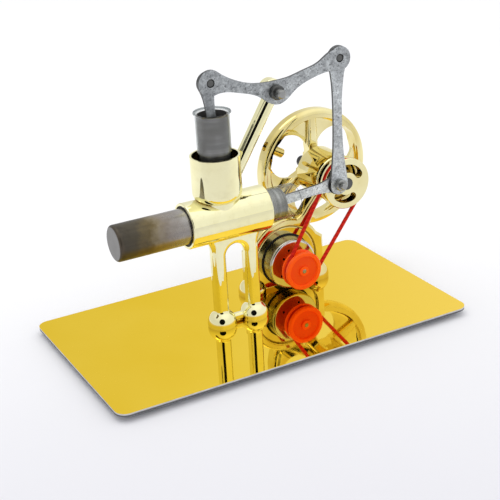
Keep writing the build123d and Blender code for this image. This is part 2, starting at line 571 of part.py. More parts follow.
# ---------------------------------------------------------------- vertical link
# Outlines in local (across, along), where along runs from the crank pin to the beam pin.
link_length, (link_dx, link_dz) = span(CRANK_PIN, BEAM_RIGHT)
LINK_EYE = 5.3                                 # outer radius at the beam pin
LINK_RIGHT = [(4.5, -0.6), (3.75, 5.5), (2.6, 13.0), (1.85, 22.0), (1.6, 32.0), (1.75, 41.0),
              (2.55, 49.0), (4.1, 55.0), (LINK_EYE, link_length)]
LINK_LEFT = [(-LINK_EYE, link_length), (-4.7, 55.0), (-3.55, 49.0), (-2.95, 41.0),
             (-2.75, 32.0), (-2.85, 22.0), (-3.25, 13.0), (-4.05, 5.5), (-4.5, -0.6)]
with BuildPart() as link_rod:
    with BuildSketch(lever_plane(LINK_Y, CRANK_PIN, (link_dz, -link_dx))):
        with BuildLine():
            ThreePointArc(LINK_LEFT[-1], (0, -4.7), LINK_RIGHT[0])
            Spline(*LINK_RIGHT, tangents=[(-0.05, 1), (0, 1)])
            ThreePointArc(LINK_RIGHT[-1], (0, link_length + LINK_EYE), LINK_LEFT[0])
            Spline(*LINK_LEFT, tangents=[(0, -1), (-0.05, -1)])
        make_face()
        Circle(CRANK_PIN_R + SNUG, mode=Mode.SUBTRACT)
        with Locations((0, link_length)):
            Circle(BEAM_PIN_R + CLEARANCE, mode=Mode.SUBTRACT)
    extrude(amount=LEVER_T)
write(link_rod.part, "link_rod")

# ---------------------------------------------------------------- beam pins and pivot
for name, centre in (("beam_left_pin", BEAM_LEFT), ("beam_right_pin", BEAM_RIGHT)):
    with BuildPart() as pin:
        with BuildSketch(front(LINK_Y + 0.9, *centre)):
            Circle(BEAM_PIN_R)
        extrude(amount=2.75)
        # head behind the rod
        with BuildSketch(front(LINK_Y + 1.5, *centre)):
            Circle(2.6)
        extrude(amount=0.8)
        chamfer(pin.edges().group_by(Axis.Y)[0], 0.45)
    write(pin.part, name)

PIVOT_Y0, PIVOT_Y1 = -18.4, BOSS_Y1 + 0.8
with BuildPart() as beam_pivot_shaft:
    with BuildSketch(front(PIVOT_Y1, *PIVOT)):
        Circle(PIVOT_R)
    extrude(amount=PIVOT_Y1 - PIVOT_Y0)
    chamfer(beam_pivot_shaft.edges().group_by(Axis.Y)[0], 0.5)
write(beam_pivot_shaft.part, "beam_pivot_shaft")

# collar in front of the beam, washer behind it
write(ring(front(BEAM_Y - LEVER_T / 2 - 0.1, *PIVOT), 3.2, PIVOT_R + SNUG, 2.6,
           front_chamfer=0.35), "beam_pivot_collar")
write(ring(front(BEAM_Y + LEVER_T / 2 + 0.35, *PIVOT), 3.4, PIVOT_R + SNUG, 0.3),
      "beam_pivot_washer")

# ---------------------------------------------------------------- crank pin, washer, collar
with BuildPart() as crank_pin:
    # shank, then the flange at its rear end
    for radius, length in ((CRANK_PIN_R, 8.2), (2.6, 0.85)):
        with BuildSketch(front(DISC_Y0 - 0.15, *CRANK_PIN)):
            Circle(radius)
        extrude(amount=length)
    chamfer(crank_pin.edges().group_by(Axis.Y)[0], 0.3)
write(crank_pin.part, "crank_pin")

write(ring(front(CON_ROD_Y - LEVER_T / 2 - 0.05, *CRANK_PIN), 5.0, CRANK_PIN_R + SNUG, 0.5),
      "crank_washer")
write(ring(front(LINK_Y - LEVER_T / 2, *CRANK_PIN), 2.7, CRANK_PIN_R + SNUG, 2.4,
           front_chamfer=0.35), "crank_pin_collar")

# ---------------------------------------------------------------- crank disc with belt groove
SLOT_PITCH_R, SLOT_WIDTH = 7.25, 3.9
SLOT_OFFSET, SLOT_SWEEP = 98, 68               # degrees: slot centre from the pin, arc length
pin_angle = math.degrees(math.atan2(CRANK_PIN[1] - CRANK_Z, CRANK_PIN[0] - CRANK_X))
with BuildPart() as crank_disc:
    # half section: radius, y
    with BuildSketch(level(CRANK_X, 0, CRANK_Z)):
        with BuildLine():
            Polyline((SHAFT_R, DISC_Y0), (DISC_R - 0.3, DISC_Y0), (DISC_R, DISC_Y0 + 0.3),
                     (DISC_R, BELT_Y - 1.2), (DISC_R - 1.0, BELT_Y - 1.0),
                     (DISC_GROOVE_R, BELT_Y - 0.95))
            ThreePointArc((DISC_GROOVE_R, BELT_Y - 0.95), (DISC_GROOVE_R - 0.12, BELT_Y),
                          (DISC_GROOVE_R, BELT_Y + 0.95))
            Polyline((DISC_GROOVE_R, BELT_Y + 0.95), (DISC_R - 1.0, BELT_Y + 1.0),
                     (DISC_R, BELT_Y + 1.2), (DISC_R, DISC_Y1 - 0.3), (DISC_R - 0.3, DISC_Y1),
                     (6.0, DISC_Y1), (6.0, DISC_Y1 + 1.6), (SHAFT_R, DISC_Y1 + 1.6),
                     (SHAFT_R, DISC_Y0))
        make_face()
    revolve(axis=Axis((CRANK_X, 0, CRANK_Z), (0, 1, 0)))
    # two kidney slots placed evenly either side of the pin direction
    with BuildSketch(front(DISC_Y1 + 3, *CRANK_AXIS)):
        for side in (-1, 1):
            slot_start = pin_angle + side * SLOT_OFFSET - SLOT_SWEEP / 2
            with BuildLine():
                slot_arc = CenterArc((0, 0), SLOT_PITCH_R, slot_start, SLOT_SWEEP)
            SlotArc(slot_arc, SLOT_WIDTH)
    extrude(amount=12, mode=Mode.SUBTRACT)
write(crank_disc.part, "crank_disc")

NOSE_T = 0.35                                  # flange in front of the crank disc
with BuildPart() as crankshaft:
    with BuildSketch(front(SHAFT_Y1, *CRANK_AXIS)):
        Circle(SHAFT_R)
    extrude(amount=SHAFT_Y1 - (DISC_Y0 - NOSE_T))
    with BuildSketch(front(DISC_Y0, *CRANK_AXIS)):
        Circle(2.8)
    extrude(amount=NOSE_T)
write(crankshaft.part, "crankshaft")

GROOVE_DEPTH = 0.3                             # ring groove in both bearing faces
for name, rear_y in zip(("front_bearing", "rear_bearing"), BEARING_Y1):
    with BuildPart() as bearing:
        with BuildSketch(front(rear_y, *CRANK_AXIS)):
            Circle(BEARING_R)
            Circle(SHAFT_R + CLEARANCE, mode=Mode.SUBTRACT)
        extrude(amount=BEARING_T)
        for groove_y in (rear_y, rear_y - BEARING_T + GROOVE_DEPTH):
            with BuildSketch(front(groove_y, *CRANK_AXIS)):
                Circle(4.7)
                Circle(3.0, mode=Mode.SUBTRACT)
            extrude(amount=GROOVE_DEPTH, mode=Mode.SUBTRACT)
    write(bearing.part, name)

# ---------------------------------------------------------------- flywheel
RIB_T = RIM_T - 1.8
HUB_T = RIM_T + 0.8
RIB_OUTLINE = ((3.6, -3.4), (25.6, -2.4), (25.6, 2.4), (3.6, 3.4), (3.6, -3.4))   # along, across
peg_radians = math.radians(PEG_ANGLE)
peg_plane = Plane(origin=(CRANK_X, FLY_Y, CRANK_Z), x_dir=(0, 1, 0),
                  z_dir=(math.cos(peg_radians), 0, math.sin(peg_radians)))
with BuildPart() as flywheel:
    with BuildSketch(front(FLY_Y + RIM_T / 2, *CRANK_AXIS)):
        Circle(FLY_R)
    extrude(amount=RIM_T)
    fillet(flywheel.edges(), 2.6)
    # recess front and rear faces between hub and rim: back of the pocket, index of its floor
    for pocket_y, floor in ((FLY_Y - WEB_T / 2, -1), (FLY_Y + RIM_T / 2, 0)):
        with BuildPart(mode=Mode.PRIVATE) as pocket:
            with BuildSketch(front(pocket_y, *CRANK_AXIS)):
                Circle(24.6)
                Circle(6.6, mode=Mode.SUBTRACT)
            extrude(amount=(RIM_T - WEB_T) / 2)
            fillet(pocket.faces().sort_by(Axis.Y)[floor].edges(), 2.0)
        add(pocket.part, mode=Mode.SUBTRACT)
    # three tapered ribs, raised above the web on both faces
    with BuildPart(mode=Mode.PRIVATE) as ribs:
        with BuildSketch(front(FLY_Y + RIB_T / 2, *CRANK_AXIS)):
            for k in range(3):
                angle = math.radians(90 + 120 * k)
                cosine, sine = math.cos(angle), math.sin(angle)
                with BuildLine():
                    Polyline(*[(along * cosine - across * sine, along * sine + across * cosine)
                               for along, across in RIB_OUTLINE])
                make_face()
        extrude(amount=RIB_T)
        fillet(ribs.edges().filter_by(lambda e: e.length > 15), 1.7)
    add(ribs.part)
    # hub boss on both faces
    with BuildSketch(front(FLY_Y + HUB_T / 2, *CRANK_AXIS)):
        Circle(4.7)
    extrude(amount=HUB_T)
    # three round windows between the ribs
    with BuildSketch(front(FLY_Y + 12, *CRANK_AXIS)):
        with PolarLocations(WINDOW_PITCH_R, 3, start_angle=30):
            Circle(WINDOW_R)
    extrude(amount=24, mode=Mode.SUBTRACT)
    # shaft bore, then the peg hole in the rim
    with BuildSketch(front(FLY_Y + 12, *CRANK_AXIS)):
        Circle(SHAFT_R)
    extrude(amount=24, mode=Mode.SUBTRACT)
    with BuildSketch(peg_plane.offset(20)):
        Circle(PEG_R)
    extrude(amount=12, mode=Mode.SUBTRACT)
write(flywheel.part, "flywheel")

with BuildPart() as flywheel_balance_peg:
    with BuildSketch(peg_plane.offset(18.5)):
        Circle(PEG_R)
    extrude(amount=9.0)
    chamfer(flywheel_balance_peg.edges(), 0.25)
write(flywheel_balance_peg.part, "flywheel_balance_peg")

with BuildPart() as shaft_end_cap:
    with BuildSketch(front(SHAFT_Y1 + 2.4, *CRANK_AXIS)):
        Circle(2.7)
    extrude(amount=5.5)
    fillet(shaft_end_cap.edges().sort_by(Axis.Y)[-1], 0.8)
    with BuildSketch(front(SHAFT_Y1, *CRANK_AXIS)):
        Circle(SHAFT_R)
    extrude(amount=3.6, mode=Mode.SUBTRACT)
write(shaft_end_cap.part, "shaft_end_cap")

# ---------------------------------------------------------------- motor
# openings in the front face of the can, from the motor axis
CAN_HOLES = [(-2.1, 7.45), (-5.05, 3.85), (-6.4, -4.5), (2.1, -7.45), (6.4, 4.5)]
with BuildPart() as motor_can:
    with BuildSketch(front(CAN_Y1, *MOTOR_AXIS)):
        Circle(CAN_R)
    extrude(amount=CAN_Y1 - CAN_Y0)
    fillet(motor_can.edges().group_by(Axis.Y)[0], 1.1)
    with BuildSketch(front(CAN_Y0, *MOTOR_AXIS)):
        Circle(3.1)
    extrude(amount=1.3)
    with BuildSketch(front(CAN_Y1, *MOTOR_AXIS)):
        Circle(CAN_BORE_R)
    extrude(amount=CAN_Y1 - CAN_Y0 - CAN_WALL, mode=Mode.SUBTRACT)
    with BuildSketch(front(CAN_Y0 + 1, *MOTOR_AXIS)):
        Circle(MOTOR_SHAFT_R + CLEARANCE)
        with Locations(*CAN_HOLES):
            Circle(0.62)
    extrude(amount=4, mode=Mode.SUBTRACT)
write(motor_can.part, "motor_can")

with BuildPart() as motor_end_cap:
    # plate in the can, then the boss behind it: rear face, radius, thickness
    for rear_y, radius, thickness in ((CAN_Y1 + 0.8, CAN_BORE_R, 2.6), (CAN_Y1 + 2.0, 3.2, 1.2)):
        with BuildSketch(front(rear_y, *MOTOR_AXIS)):
            Circle(radius)
        extrude(amount=thickness)
    with BuildSketch(front(CAN_Y1 + 2.5, *MOTOR_AXIS)):
        Circle(MOTOR_SHAFT_R + CLEARANCE)
        with Locations(*TERMINALS):
            Rectangle(TERMINAL_T, TERMINAL_H)
    extrude(amount=6, mode=Mode.SUBTRACT)
write(motor_end_cap.part, "motor_end_cap")

with BuildPart() as motor_terminals:
    with BuildSketch(front(CAN_Y1 + 4.6, *MOTOR_AXIS)):
        with Locations(*TERMINALS):
            Rectangle(TERMINAL_T, TERMINAL_H)
    extrude(amount=6.2)
    # cross hole through both tags
    with BuildSketch(Plane(origin=(MOTOR_X, CAN_Y1 + 3.4, MOTOR_Z), x_dir=(0, 1, 0),
                           z_dir=(1, 0, 0))):
        Circle(0.45)
    extrude(amount=10, both=True, mode=Mode.SUBTRACT)
write(motor_terminals.part, "motor_terminals")

with BuildPart() as motor_magnets:
    with BuildSketch(front(11.2, *MOTOR_AXIS)):
        Circle(CAN_BORE_R)
        Circle(9.3, mode=Mode.SUBTRACT)
        Rectangle(8.0, 30.0, mode=Mode.SUBTRACT)
    extrude(amount=7.8)
write(motor_magnets.part, "motor_magnets")

with BuildPart() as motor_rotor:
    with BuildSketch(front(10.9, *MOTOR_AXIS)):
        Circle(8.9)
        Circle(MOTOR_SHAFT_R, mode=Mode.SUBTRACT)
        with PolarLocations(6.0, 3, start_angle=90):
            Circle(1.9, mode=Mode.SUBTRACT)
        with PolarLocations(8.2, 3, start_angle=90):
            Rectangle(3.4, 1.2, mode=Mode.SUBTRACT)
    extrude(amount=7.0)
write(motor_rotor.part, "motor_rotor")

MOTOR_SHAFT_Y1 = 16.0
with BuildPart() as motor_shaft:
    with BuildSketch(front(MOTOR_SHAFT_Y1, *MOTOR_AXIS)):
        Circle(MOTOR_SHAFT_R)
    extrude(amount=MOTOR_SHAFT_Y1 - (PULLEY_Y0 - 0.25))
    chamfer(motor_shaft.edges().group_by(Axis.Y)[0], 0.2)
write(motor_shaft.part, "motor_shaft")

write(ring(front(15.2, *MOTOR_AXIS), RING_BORE_R, CAN_R, 5.4), "motor_sleeve")

with BuildPart() as motor_pulley:
    # half section: radius, y
    with BuildSketch(level(MOTOR_X, 0, MOTOR_Z)):
        with BuildLine():
            Polyline((MOTOR_SHAFT_R, PULLEY_Y0), (2.3, PULLEY_Y0), (2.6, PULLEY_Y0 + 0.9),
                     (7.0, PULLEY_Y0 + 0.9), (7.4, PULLEY_Y0), (PULLEY_R - 0.4, PULLEY_Y0),
                     (PULLEY_R, PULLEY_Y0 + 0.4), (PULLEY_R, BELT_Y - 1.4),
                     (PULLEY_GROOVE_R, BELT_Y - 0.78))
            ThreePointArc((PULLEY_GROOVE_R, BELT_Y - 0.78), (PULLEY_GROOVE_R - 0.12, BELT_Y),
                          (PULLEY_GROOVE_R, BELT_Y + 0.78))
            Polyline((PULLEY_GROOVE_R, BELT_Y + 0.78), (PULLEY_R, BELT_Y + 1.4),
                     (PULLEY_R, PULLEY_Y1 - 0.4), (PULLEY_R - 0.4, PULLEY_Y1),
                     (3.0, PULLEY_Y1), (3.0, PULLEY_Y1 + 1.0),
                     (MOTOR_SHAFT_R, PULLEY_Y1 + 1.0), (MOTOR_SHAFT_R, PULLEY_Y0))
        make_face()
    revolve(axis=Axis((MOTOR_X, 0, MOTOR_Z), (0, 1, 0)))
write(motor_pulley.part, "motor_pulley")

# ---------------------------------------------------------------- drive belt
disc_belt_r = DISC_GROOVE_R + BELT_R + BELT_GAP        # belt centre line on the crank disc
pulley_belt_r = PULLEY_GROOVE_R + BELT_R + BELT_GAP    # belt centre line on the motor pulley
axis_distance, (axis_dx, axis_dz) = span(MOTOR_AXIS, CRANK_AXIS)
axis_angle = math.atan2(axis_dz, axis_dx)
spread = math.asin((disc_belt_r - pulley_belt_r) / axis_distance)
left_angle = axis_angle + math.pi / 2 + spread         # where the straight runs touch
right_angle = axis_angle - math.pi / 2 - spread


def on_disc(angle):
    return (CRANK_X + disc_belt_r * math.cos(angle), CRANK_Z + disc_belt_r * math.sin(angle))


def on_pulley(angle):
    return (MOTOR_X + pulley_belt_r * math.cos(angle), MOTOR_Z + pulley_belt_r * math.sin(angle))


with BuildPart() as drive_belt:
    with BuildLine(front(BELT_Y)) as path:
        Line(on_pulley(left_angle), on_disc(left_angle))
        ThreePointArc(on_disc(left_angle), on_disc(axis_angle), on_disc(right_angle))
        Line(on_disc(right_angle), on_pulley(right_angle))
        ThreePointArc(on_pulley(right_angle), on_pulley(axis_angle + math.pi),
                      on_pulley(left_angle))
    start_x, start_z = on_pulley(left_angle)
    run_angle = left_angle - math.pi / 2
    with BuildSketch(Plane(origin=(start_x, BELT_Y, start_z), x_dir=(0, 1, 0),
                           z_dir=(math.cos(run_angle), 0, math.sin(run_angle)))):
        Circle(BELT_R)
    sweep(path=path.wires()[0])
write(drive_belt.part, "drive_belt")
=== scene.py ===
"""Model hot-air engine with a small motor, standing on a gold-topped board.

The board lies flat in XY with +Z up. The hot cylinder points to -X, and the
camera looks from -X and -Y, a little above. This script gives the CAD pieces
their materials and sets up the floor, camera, reflections and lights.
"""
import functools
import math
import bpy
import bmesh
from mathutils import Matrix, Vector

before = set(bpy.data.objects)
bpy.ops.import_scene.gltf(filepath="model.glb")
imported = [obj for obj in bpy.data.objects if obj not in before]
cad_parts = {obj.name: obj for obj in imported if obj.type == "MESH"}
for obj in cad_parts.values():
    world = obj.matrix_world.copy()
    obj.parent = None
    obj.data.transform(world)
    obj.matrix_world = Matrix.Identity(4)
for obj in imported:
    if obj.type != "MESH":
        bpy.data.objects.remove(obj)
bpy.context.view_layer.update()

scene = bpy.context.scene

SHEET_TOP = 0.0040                         # top of the mirror sheet
SEAT = Vector((0.00427, 0.0083, -0.0046))  # the engine's own datum, on the base

# Places below are measured from the engine's datum, then moved by SEAT.
HOT_END_X = -0.0675 + SEAT.x               # where the heat tint starts and ends
COOL_END_X = -0.0345 + SEAT.x
PULLEY_X = 0.025 + SEAT.x
PULLEY_Z = 0.0225 + SEAT.z
PULLEY_RECESS_RADIUS = 0.00705
PULLEY_RECESS_Y = -0.0079 + 0.00012 + SEAT.y  # just behind the -Y rim

CAMERA_AT = Vector((-0.22745, -0.44162, 0.24485 + SHEET_TOP)) + SEAT
AZIMUTH = math.radians(-27.393)
ELEVATION = math.radians(23.117)
ROLL = math.radians(-3.349)
VIEW_COS, VIEW_SIN = 0.888, 0.46           # rounded heading of the view, for the floor's painted light fade and the world's glow

SHADE_RADIUS = 0.27
SHADE_FLATTEN = 0.25                       # thickness across the view, against the radius
SHADE_BEHIND = 0.12                        # distance behind the camera

KEY_AT = Vector((-0.15, 0.25, 0.95))
KEY_AIM = Vector((0, 0, 0.05))


# ------------------------------------------------------------------ node graph
class Graph:
    """Builds one node tree. Inputs take a number, a tuple or another node's socket."""

    def __init__(self, owner, output="OutputMaterial"):
        owner.use_nodes = True
        self.tree = owner.node_tree
        self.tree.nodes.clear()
        self.out = self.node(output)
        self.coords = self.node("TexCoord").outputs

    def put(self, socket, value):
        if isinstance(value, bpy.types.NodeSocket):
            self.tree.links.new(value, socket)
            return
        if socket.type == "RGBA" and len(value) == 3:
            value = (*value, 1)
        socket.default_value = value

    def node(self, kind, **inputs):
        """New node; an underscore in an input's name stands for a space."""
        node = self.tree.nodes.new("ShaderNode" + kind)
        for name, value in inputs.items():
            self.put(node.inputs[name.replace("_", " ")], value)
        return node

    def surface(self, shader):
        self.put(self.out.inputs["Surface"], shader)

    # patterns, in object coordinates unless vec is given
    def mapping(self, scale=(1, 1, 1), rot=(0, 0, 0)):
        node = self.node("Mapping", Vector=self.coords["Object"], Scale=scale, Rotation=rot)
        return node.outputs["Vector"]

    def noise(self, scale, detail=4.0, rough=0.55, vec=None, warp=0.0):
        node = self.node("TexNoise", Vector=vec or self.coords["Object"], Scale=scale,
                         Detail=detail, Roughness=rough, Distortion=warp)
        return node.outputs["Fac"]

    def grain(self, axis, along, across, detail, rough=0.55):
        """Noise with its own frequency along one axis, as for tool marks."""
        scale = tuple(along if name == axis else across for name in "XYZ")
        return self.noise(scale=1.0, detail=detail, rough=rough, vec=self.mapping(scale=scale))

    def voronoi(self, scale, vec=None):
        return self.node("TexVoronoi", Vector=vec or self.coords["Object"], Scale=scale).outputs

    def xyz(self, vec=None):
        return self.node("SeparateXYZ", Vector=vec or self.coords["Object"]).outputs

    def normal(self, axis):
        return self.xyz(self.coords["Normal"])[axis]

    # arithmetic
    def math(self, operation, *values):
        node = self.node("Math")
        node.operation = operation
        for socket, value in zip(node.inputs, values):
            self.put(socket, value)
        return node.outputs[0]

    def add(self, a, b):
        return self.math("ADD", a, b)

    def multiply(self, a, b):
        return self.math("MULTIPLY", a, b)

    def above(self, value, limit):
        return self.math("GREATER_THAN", value, limit)

    def below(self, value, limit):
        return self.math("LESS_THAN", value, limit)

    def remap(self, value, span, to=(0, 1), smooth=False):
        """Carry span onto to, clamped at both ends."""
        node = self.node("MapRange", Value=value, From_Min=span[0], From_Max=span[1],
                         To_Min=to[0], To_Max=to[1])
        if smooth:
            node.interpolation_type = "SMOOTHSTEP"
        return node.outputs["Result"]

    # colour and shading
    def mix(self, factor, low, high, mode="MIX"):
        node = self.node("Mix")
        node.data_type = "RGBA"
        node.blend_type = mode
        for index, value in ((0, factor), (6, low), (7, high)):  # 6 and 7: colours A and B
            self.put(node.inputs[index], value)
        return node.outputs[2]

    def fade(self, value, span, low, high, most=1):
        """Colour low before span, turning to high across it by the share most."""
        return self.mix(self.remap(value, span=span, to=(0, most)), low, high)

    def tint(self, color, by):
        return self.mix(1.0, color, by, mode="MULTIPLY")

    def grey(self, value):
        return self.node("CombineColor", Red=value, Green=value, Blue=value).outputs[0]

    def ramp(self, value, stops):
        """Colour ramp from (position, colour) stops."""
        node = self.node("ValToRGB", Fac=value)
        elements = node.color_ramp.elements
        while len(elements) > 1:
            elements.remove(elements[-1])
        elements[0].position = stops[0][0]
        elements[0].color = (*stops[0][1], 1)
        for position, color in stops[1:]:
            elements.new(position).color = (*color, 1)
        return node.outputs["Color"]

    def bump(self, height, distance, strength, **normal):
        node = self.node("Bump", Height=height, Distance=distance, Strength=strength, **normal)
        return node.outputs["Normal"]

    def facing(self, power):
        """Rises from 0 face-on to 1 at the silhouette."""
        weight = self.node("LayerWeight", Blend=0.5)
        return self.math("POWER", weight.outputs["Facing"], power)

    def bsdf(self, **inputs):
        return self.node("BsdfPrincipled", **inputs).outputs[0]

    def mix_shader(self, factor, first, second):
        node = self.node("MixShader")
        for socket, value in zip(node.inputs, (factor, first, second)):
            self.put(socket, value)
        return node.outputs[0]


def make_material(name, paint, **settings):
    material = bpy.data.materials.new(name + "_mat")
    graph = Graph(material)
    graph.surface(paint(graph, **settings))
    return material


# ------------------------------------------------------------------ materials
def gold_plating(g, shade_depth=0.0):
    """Bright plating with painted brown shade in its hollows; a larger depth setting mixes in a
    darker, warmer gold, painted to stand in for darker reflections, and widens that painted
    shade.
    """
    pale = g.fade(g.noise(scale=55, detail=3), span=(0.35, 0.65),
                  low=(0.895, 0.845, 0.495), high=(0.93, 0.89, 0.565))
    warm = g.fade(g.noise(scale=38, detail=3), span=(0.38, 0.62),
                  low=(0.70, 0.55, 0.17), high=(0.90, 0.81, 0.43))
    # painted shade: hollows found by ambient occlusion turn brown, a little unevenly
    hollow = g.node("AmbientOcclusion", Distance=0.007 + 0.006 * shade_depth)
    hollow.samples = 8
    breakup = g.noise(scale=240, detail=5, rough=0.65)
    hollow_shade = g.add(g.remap(hollow.outputs["AO"], span=(0.10, 0.62), to=(1.0, 0.0)),
                 g.remap(breakup, span=(0.3, 0.7), to=(-0.10, 0.10)))
    # painted darker reflection: a larger depth setting turns the plating to the darker, warmer
    # gold
    color = g.fade(hollow_shade, span=(0, 1), low=g.mix(shade_depth, pale, warm), high=(0.36, 0.245, 0.075))
    ripple = g.bump(g.noise(scale=95, detail=2, rough=0.5), distance=0.00004, strength=0.5)
    orange_peel = g.bump(g.noise(scale=420, detail=2, rough=0.5),
                         distance=0.000006, strength=0.5, Normal=ripple)
    smudge = g.noise(scale=160, detail=5, rough=0.65, warp=0.4)
    return g.bsdf(Base_Color=color, Metallic=1.0, Normal=orange_peel,
                  Roughness=g.remap(smudge, span=(0.45, 0.72), to=(0.012, 0.055)),
                  Specular_Tint=(1.0, 0.99, 0.93))


def gold_mirror(g):
    """Wavy mirror sheet, paler towards +X, with smudges and dust specks."""
    color = g.fade(g.noise(scale=14, detail=3), span=(0.35, 0.65),
                   low=(0.88, 0.610, 0.058), high=(0.91, 0.650, 0.078))
    color = g.fade(g.xyz()["X"], span=(-0.03, 0.085), low=color, high=(0.95, 0.690, 0.135))
    wave = g.noise(scale=70, detail=2, rough=0.5, vec=g.mapping(scale=(1.0, 0.45, 1.0)))
    normal = g.bump(wave, distance=0.00004, strength=0.55)
    normal = g.bump(g.noise(scale=700, detail=2, rough=0.5),
                    distance=0.0000022, strength=0.6, Normal=normal)
    dust = g.voronoi(scale=260)["Distance"]
    speck = g.remap(dust, span=(0.035, 0.055), to=(0.35, 0.0))
    smudge = g.noise(scale=28, detail=5, rough=0.7, warp=0.6)
    rough = g.add(g.remap(smudge, span=(0.45, 0.75), to=(0.02, 0.075)), speck)
    return g.bsdf(Base_Color=color, Metallic=1.0, Roughness=rough, Normal=normal,
                  Specular_Tint=(1.0, 0.86, 0.42))


def board_edge(g):
    """Layered board: grey, then near black, then light grey at the top."""
    height = g.remap(g.xyz()["Z"], span=(0.0023, 0.0038))
    grain = g.noise(scale=900, vec=g.mapping(scale=(0.25, 0.25, 3)))
    layers = g.ramp(height, [(0.0, (0.42, 0.425, 0.45)), (0.20, (0.10, 0.10, 0.105)),
                             (0.50, (0.085, 0.085, 0.09)), (0.62, (0.66, 0.665, 0.68)),
                             (1.0, (0.74, 0.745, 0.75))])
    color = g.fade(grain, span=(0.3, 0.7), low=layers, high=(0.05, 0.05, 0.055), most=0.45)
    return g.bsdf(Base_Color=color, Roughness=g.remap(grain, span=(0.3, 0.7), to=(0.38, 0.6)),
                  Normal=g.bump(grain, distance=0.00006, strength=0.5))


def rubber(g, color, rough):
    cloud = g.noise(scale=260, detail=5)
    dusty = tuple(part * 1.7 + 0.006 for part in color)
    return g.bsdf(Base_Color=g.fade(cloud, span=(0.3, 0.7), low=color, high=dusty),
                  Roughness=g.remap(cloud, span=(0.3, 0.7), to=(rough - 0.08, rough + 0.1)),
                  Normal=g.bump(g.noise(scale=1800, detail=3), distance=0.00004, strength=0.5),
                  Specular_IOR_Level=0.35)


def metal(g, color, rough, turned=True):
    """Plain metal; turned adds fine rings along Y."""
    worn = tuple(part * (1 - 0.12 * 2.2) for part in color)
    shiny = tuple(part * 1.2 for part in color)
    if turned:
        marks = g.grain("Y", along=9000, across=30, detail=2)
    else:
        marks = g.noise(scale=700, detail=3)
    cloud = g.noise(scale=330)
    mixed = g.fade(cloud, span=(0.3, 0.7), low=color, high=worn)
    mixed = g.fade(marks, span=(0.35, 0.65), low=mixed, high=shiny, most=0.35)
    return g.bsdf(Base_Color=mixed, Metallic=1.0,
                  Roughness=g.remap(cloud, span=(0.3, 0.7), to=(rough, rough + 0.14)),
                  Normal=g.bump(marks, distance=0.000012, strength=0.5))


def zinc_steel(g, gain, light_fade=0.0):
    """Zinc-plated sheet; the gain setting lightens the faces as painted light, and the grow
    setting paints them lighter towards +X.
    """
    skewed = g.mapping(scale=(1, 1, 1.25), rot=(0.3, 0.2, 0.5))
    spangle = g.xyz(g.voronoi(scale=620, vec=skewed)["Color"])["X"]
    fine_spangle = g.xyz(g.voronoi(scale=1500)["Color"])["Y"]
    cloud = g.noise(scale=150, detail=6, rough=0.62)
    pits = g.noise(scale=1150, detail=3, rough=0.6)
    # shares of the three patterns in the faces' brightness
    pattern = g.add(g.multiply(spangle, 0.24), g.multiply(fine_spangle, 0.20))
    pattern = g.add(pattern, g.multiply(cloud, 0.85))
    face = g.ramp(pattern, [(0.30, (0.150, 0.157, 0.160)), (0.50, (0.235, 0.247, 0.252)),
                            (0.66, (0.315, 0.332, 0.338)), (0.92, (0.46, 0.485, 0.49))])
    # painted light: the faces are lightened for each piece, and more towards +X
    painted_light = g.add(gain, g.remap(g.xyz()["X"], span=(-0.02, 0.05), to=(-light_fade, light_fade)))
    face = g.tint(face, by=g.grey(painted_light))
    face = g.fade(pits, span=(0.57, 0.66), low=face, high=(0.085, 0.088, 0.09), most=0.8)
    # cut edges, which face away from the Y axis, are dark and a little smoother
    side = g.below(g.math("ABSOLUTE", g.normal("Y")), limit=0.6)
    rim = g.ramp(g.noise(scale=800, detail=3, vec=g.mapping(scale=(1, 6, 1))),
                 [(0.3, (0.045, 0.046, 0.046)), (0.7, (0.115, 0.118, 0.118))])
    rough = g.add(g.remap(spangle, span=(0, 1), to=(0.40, 0.56)), g.multiply(side, -0.06))
    normal = g.bump(cloud, distance=0.00008, strength=0.35)
    normal = g.bump(fine_spangle, distance=0.00001, strength=0.5, Normal=normal)
    return g.bsdf(Base_Color=g.mix(side, face, rim), Metallic=0.72, Roughness=rough,
                  Normal=normal)


# ramp stops for the turned stripes, by the axis of the piston; the bright stripes along X are
# partly painted highlight bands
PISTON_STRIPES_AND_HIGHLIGHTS = {
    "X": [(0.36, (0.115, 0.113, 0.102)), (0.48, (0.20, 0.20, 0.19)), (0.58, (0.46, 0.46, 0.45))],
    "Z": [(0.32, (0.105, 0.104, 0.098)), (0.5, (0.155, 0.153, 0.146)),
          (0.68, (0.240, 0.238, 0.232))],
}


def piston(g, axis, gain):
    """Turned grey metal with stripes along axis, partly painted highlight bands; the gain setting
    lightens it as painted light.
    """
    lathe = g.grain(axis, along=5200, across=12, detail=3)
    band = g.grain(axis, along=420, across=4, detail=2)
    wear = g.noise(scale=120, detail=5, rough=0.6)
    # shares of fine and broad marks in the stripes
    stripe = g.add(g.multiply(lathe, 0.35), g.multiply(band, 0.65))
    color = g.fade(wear, span=(0.42, 0.60), low=g.ramp(stripe, PISTON_STRIPES_AND_HIGHLIGHTS[axis]),
                   high=(0.112, 0.107, 0.095), most=0.7)
    # painted light: the gain lightens the whole piece
    return g.bsdf(Base_Color=g.tint(color, by=g.grey(gain)), Metallic=0.75,
                  Roughness=g.remap(wear, span=(0.3, 0.7), to=(0.36, 0.5)),
                  Normal=g.bump(lathe, distance=0.00001, strength=0.6), Anisotropic=0.4)


